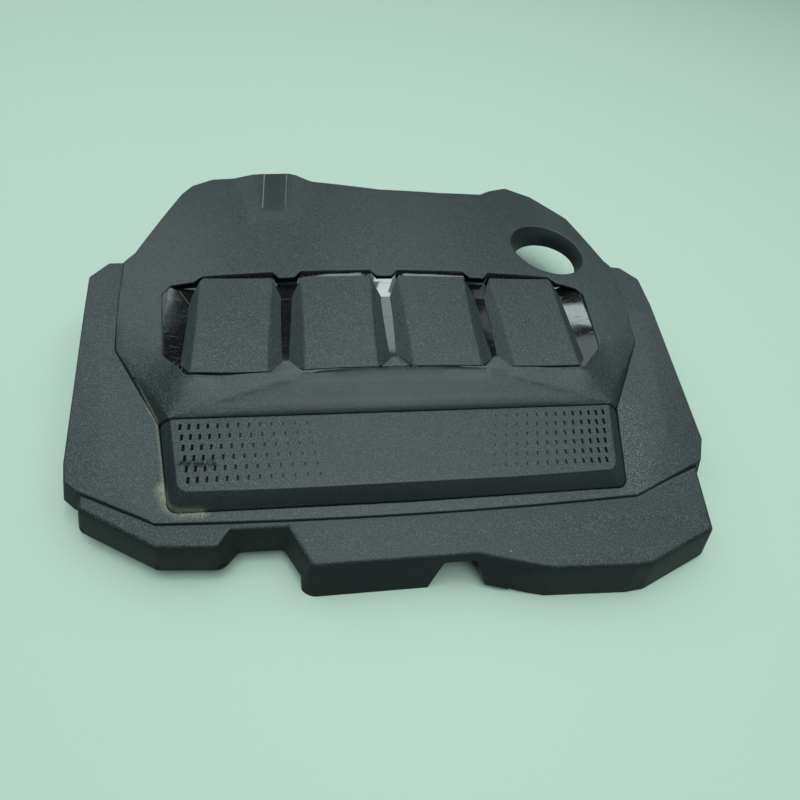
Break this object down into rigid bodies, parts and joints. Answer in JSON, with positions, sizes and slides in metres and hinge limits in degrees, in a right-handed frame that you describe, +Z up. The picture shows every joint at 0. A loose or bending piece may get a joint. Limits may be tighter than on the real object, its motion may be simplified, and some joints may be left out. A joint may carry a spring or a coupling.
{
  "type": "engine cover",
  "caption": "Crowned plastic engine cover with bevelled pads in a gloss window, a dash patterned bar, side wings, a filler well and ball stud sockets underneath.",
  "frame": {"origin": "middle of the footprint, on the plane that the cover rests on", "axes": "+X to the filler well's side along the row of cylinders, +Y from the bar to the rear edge, +Z up out of the visible face"},
  "size_m": [0.5565, 0.4584, 0.0855],
  "materials": {
    "frame_plastic": "grained matte",
    "skirt_plastic": "grained matte",
    "panel_plastic": "smooth satin",
    "gloss_black": "high gloss",
    "pad_plastic": "grained matte",
    "bar_plastic": "grained matte",
    "socket_plastic": "plain matte",
    "foam": "open cell",
    "grommet_rubber": "matte"
  },
  "bodies": {
    "root": {"side_frame": "frame_plastic", "front_skirt": "skirt_plastic", "top_panel": "panel_plastic", "gloss_insert": "gloss_black", "cylinder_pad_1": "pad_plastic", "cylinder_pad_2": "pad_plastic", "cylinder_pad_3": "pad_plastic", "cylinder_pad_4": "pad_plastic", "trim_bar": "bar_plastic", "foam_pad": "foam", "stud_post_1": "socket_plastic", "stud_post_2": "socket_plastic", "stud_post_3": "socket_plastic", "stud_post_4": "socket_plastic", "stud_cup_1": "socket_plastic", "stud_cup_2": "socket_plastic", "stud_cup_3": "socket_plastic", "stud_cup_4": "socket_plastic", "grommet_1": "grommet_rubber", "grommet_2": "grommet_rubber", "grommet_3": "grommet_rubber", "grommet_4": "grommet_rubber"}
  },
  "joints": []
}
